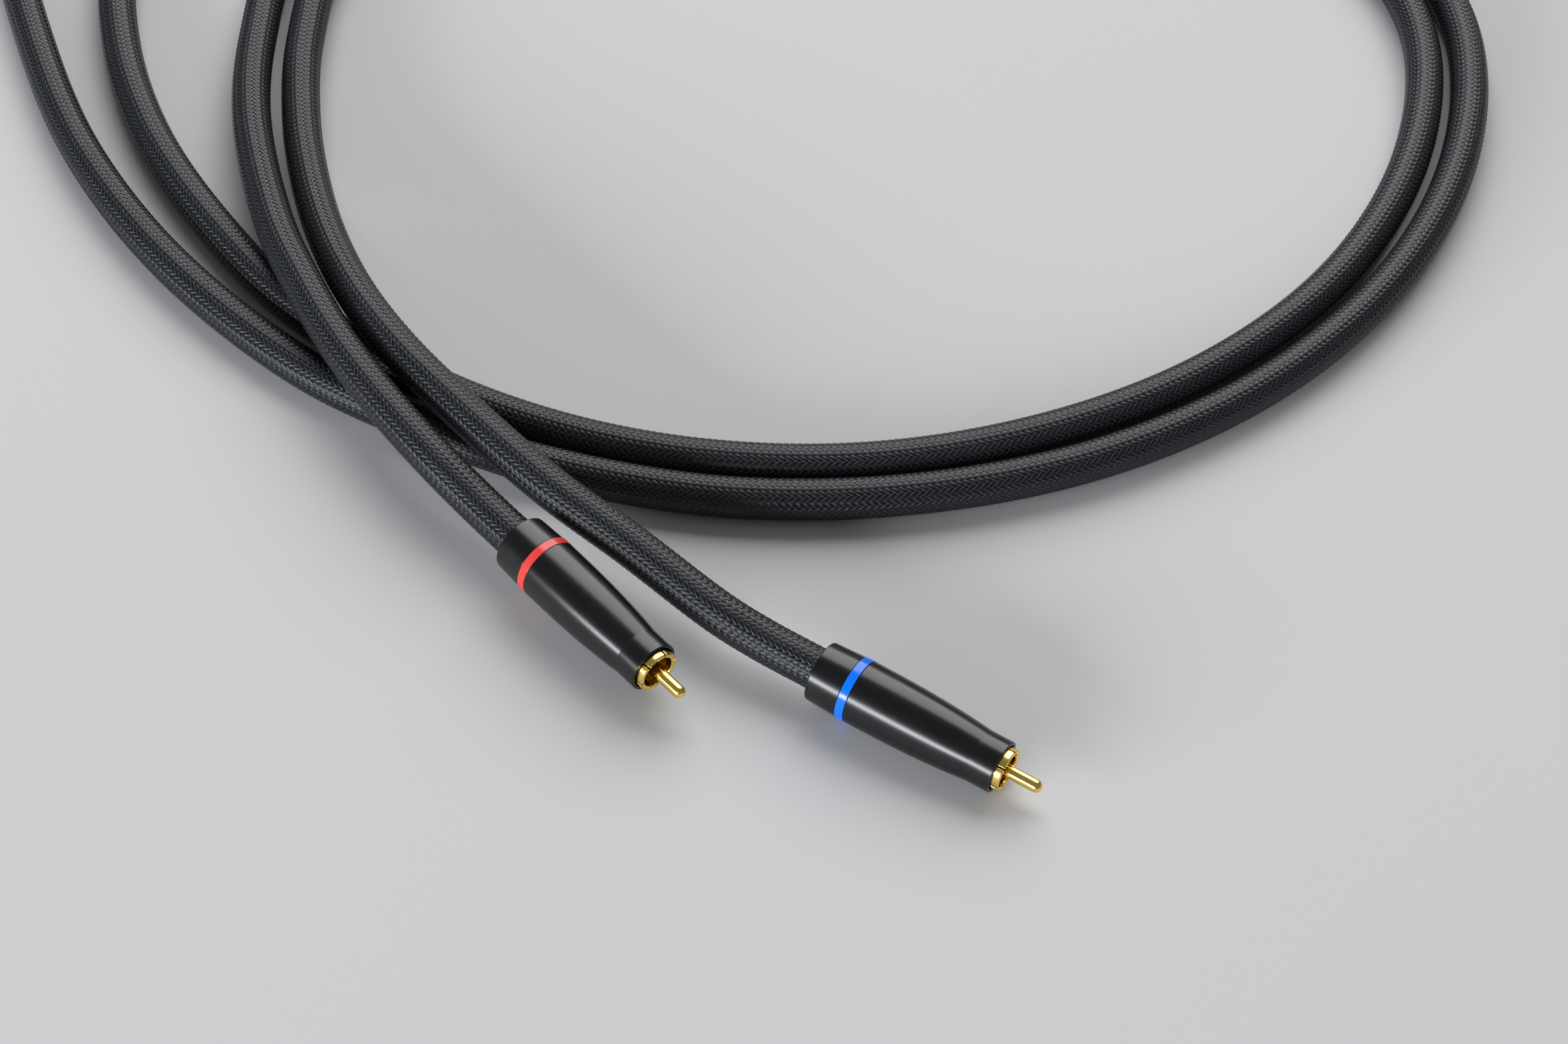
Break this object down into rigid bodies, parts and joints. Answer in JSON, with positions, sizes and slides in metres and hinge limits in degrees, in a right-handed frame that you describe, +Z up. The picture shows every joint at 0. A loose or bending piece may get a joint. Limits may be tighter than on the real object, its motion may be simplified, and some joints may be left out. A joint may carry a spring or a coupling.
{
  "type": "rca audio cable",
  "caption": "Coiled stereo pair of thick black braided phono leads with turned black plugs, gold contacts and red and blue bands.",
  "frame": {"origin": "midway between the four plugs, on the surface that the leads lie on", "axes": "+Z up from that surface, +Y from the near plugs towards the far plugs, +X to the right of the near plugs"},
  "size_m": [0.4253, 0.4287, 0.0218],
  "materials": {
    "anodised_black": "satin",
    "band_red": "satin",
    "band_blue": "satin",
    "gold_plate": "polished",
    "pin_insulator": "matte",
    "plain_brass": "satin",
    "core_jacket": "matte",
    "braid": "satin"
  },
  "bodies": {
    "root": {"right_near_barrel": "anodised_black", "right_near_rear_collar": "anodised_black", "right_near_colour_ring": "band_red", "right_near_ground_shell": "gold_plate", "right_near_centre_pin": "gold_plate", "right_near_insulator": "pin_insulator", "right_near_cable_clamp": "plain_brass", "right_near_core": "core_jacket", "left_near_barrel": "anodised_black", "left_near_rear_collar": "anodised_black", "left_near_colour_ring": "band_blue", "left_near_ground_shell": "gold_plate", "left_near_centre_pin": "gold_plate", "left_near_insulator": "pin_insulator", "left_near_cable_clamp": "plain_brass", "left_near_core": "core_jacket", "right_far_barrel": "anodised_black", "right_far_rear_collar": "anodised_black", "right_far_colour_ring": "band_red", "right_far_ground_shell": "gold_plate", "right_far_centre_pin": "gold_plate", "right_far_insulator": "pin_insulator", "right_far_cable_clamp": "plain_brass", "right_far_core": "core_jacket", "left_far_barrel": "anodised_black", "left_far_rear_collar": "anodised_black", "left_far_colour_ring": "band_blue", "left_far_ground_shell": "gold_plate", "left_far_centre_pin": "gold_plate", "left_far_insulator": "pin_insulator", "left_far_cable_clamp": "plain_brass", "left_far_core": "core_jacket", "right_lead_cord": "braid", "left_lead_cord": "braid"}
  },
  "joints": []
}
